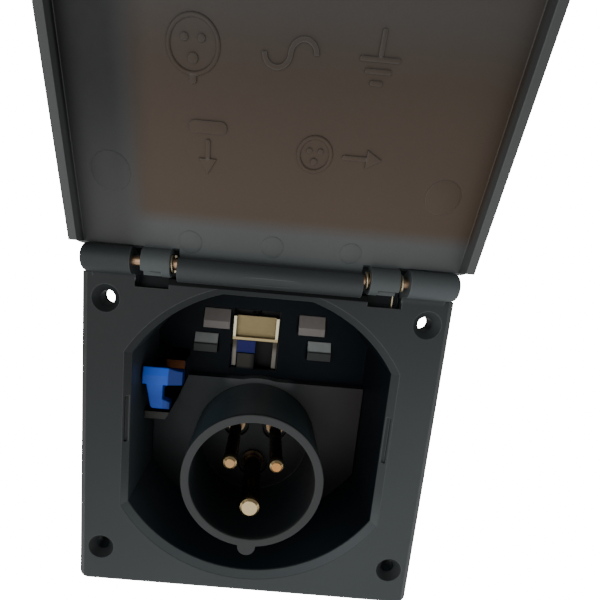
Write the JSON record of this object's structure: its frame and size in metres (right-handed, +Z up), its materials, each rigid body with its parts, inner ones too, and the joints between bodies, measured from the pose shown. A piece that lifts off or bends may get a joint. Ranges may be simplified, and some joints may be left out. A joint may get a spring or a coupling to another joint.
{
  "type": "mains inlet",
  "caption": "Flush wall inlet for mains power: square flange, deep recess, round collar with contact pins, blue release lever with sprung latch, and a hinged lid.",
  "frame": {"origin": "centre of the four flange screws, on the gasket face that meets the wall", "axes": "+Z up towards the hinge, +Y into the wall, -Y towards the user, +X to the user's right"},
  "size_m": [0.12, 0.1429, 0.228],
  "materials": {
    "housing_plastic": "fine satin grain, anthracite",
    "insert_plastic": "fine satin grain, near black",
    "carrier_plastic": "smooth grey moulding",
    "lever_plastic": "smooth blue moulding",
    "pin_brass": "turned, bright",
    "latch_steel": "zinc plated, yellow passivated",
    "leaf_bronze": "rolled strip",
    "hinge_bronze": "drawn rod, copper coloured",
    "spring_steel": "drawn wire",
    "screw_steel": "zinc plated",
    "gasket_rubber": "matt black",
    "gland_plastic": "satin black moulding"
  },
  "bodies": {
    "base": {"housing": "housing_plastic", "rear_cover": "housing_plastic", "connector_insert": "insert_plastic", "terminal_block": "insert_plastic", "latch_carrier": "carrier_plastic", "phase_pin_left": "pin_brass", "phase_pin_right": "pin_brass", "earth_pin": "pin_brass", "lever_spring": "leaf_bronze", "torsion_spring_left": "spring_steel", "torsion_spring_right": "spring_steel", "latch_spring": "spring_steel", "lever_pivot_pin": "spring_steel", "hinge_pin": "hinge_bronze", "terminal_screws": "screw_steel", "block_screws": "screw_steel", "insert_screws": "screw_steel", "cover_screws": "screw_steel", "flange_gasket": "gasket_rubber", "cover_seal": "gasket_rubber", "gland_seal": "gasket_rubber", "gland_body": "gland_plastic", "gland_nut": "gland_plastic", "gland_locknut": "gland_plastic"},
    "lid": {"lid": "housing_plastic"},
    "lever": {"release_lever": "lever_plastic"},
    "latch": {"latch_plate": "latch_steel"}
  },
  "joints": [
    {"name": "lid_hinge", "type": "hinge", "parent": "base", "child": "lid", "pos_m": [0, -0.013, 0.058], "axis": [1, 0, 0], "range_deg": [0, 158.7], "deforming": ["torsion_spring_left", "torsion_spring_right"]},
    {"name": "release_lever_pivot", "type": "hinge", "parent": "base", "child": "lever", "pos_m": [-0.0148, 0.0406, 0.019], "axis": [0, -1, 0], "range_deg": [0, 12]},
    {"name": "latch_slide", "type": "slide", "parent": "base", "child": "latch", "axis": [0, 0, 1], "range_m": [0, 0.0025], "stiffness_N_per_m": 20, "springref_m": -0.005, "deforming": ["latch_spring"]}
  ],
  "couplings": [
    {"joint": "release_lever_pivot", "follows": "latch_slide", "rad_per_m": 83}
  ]
}
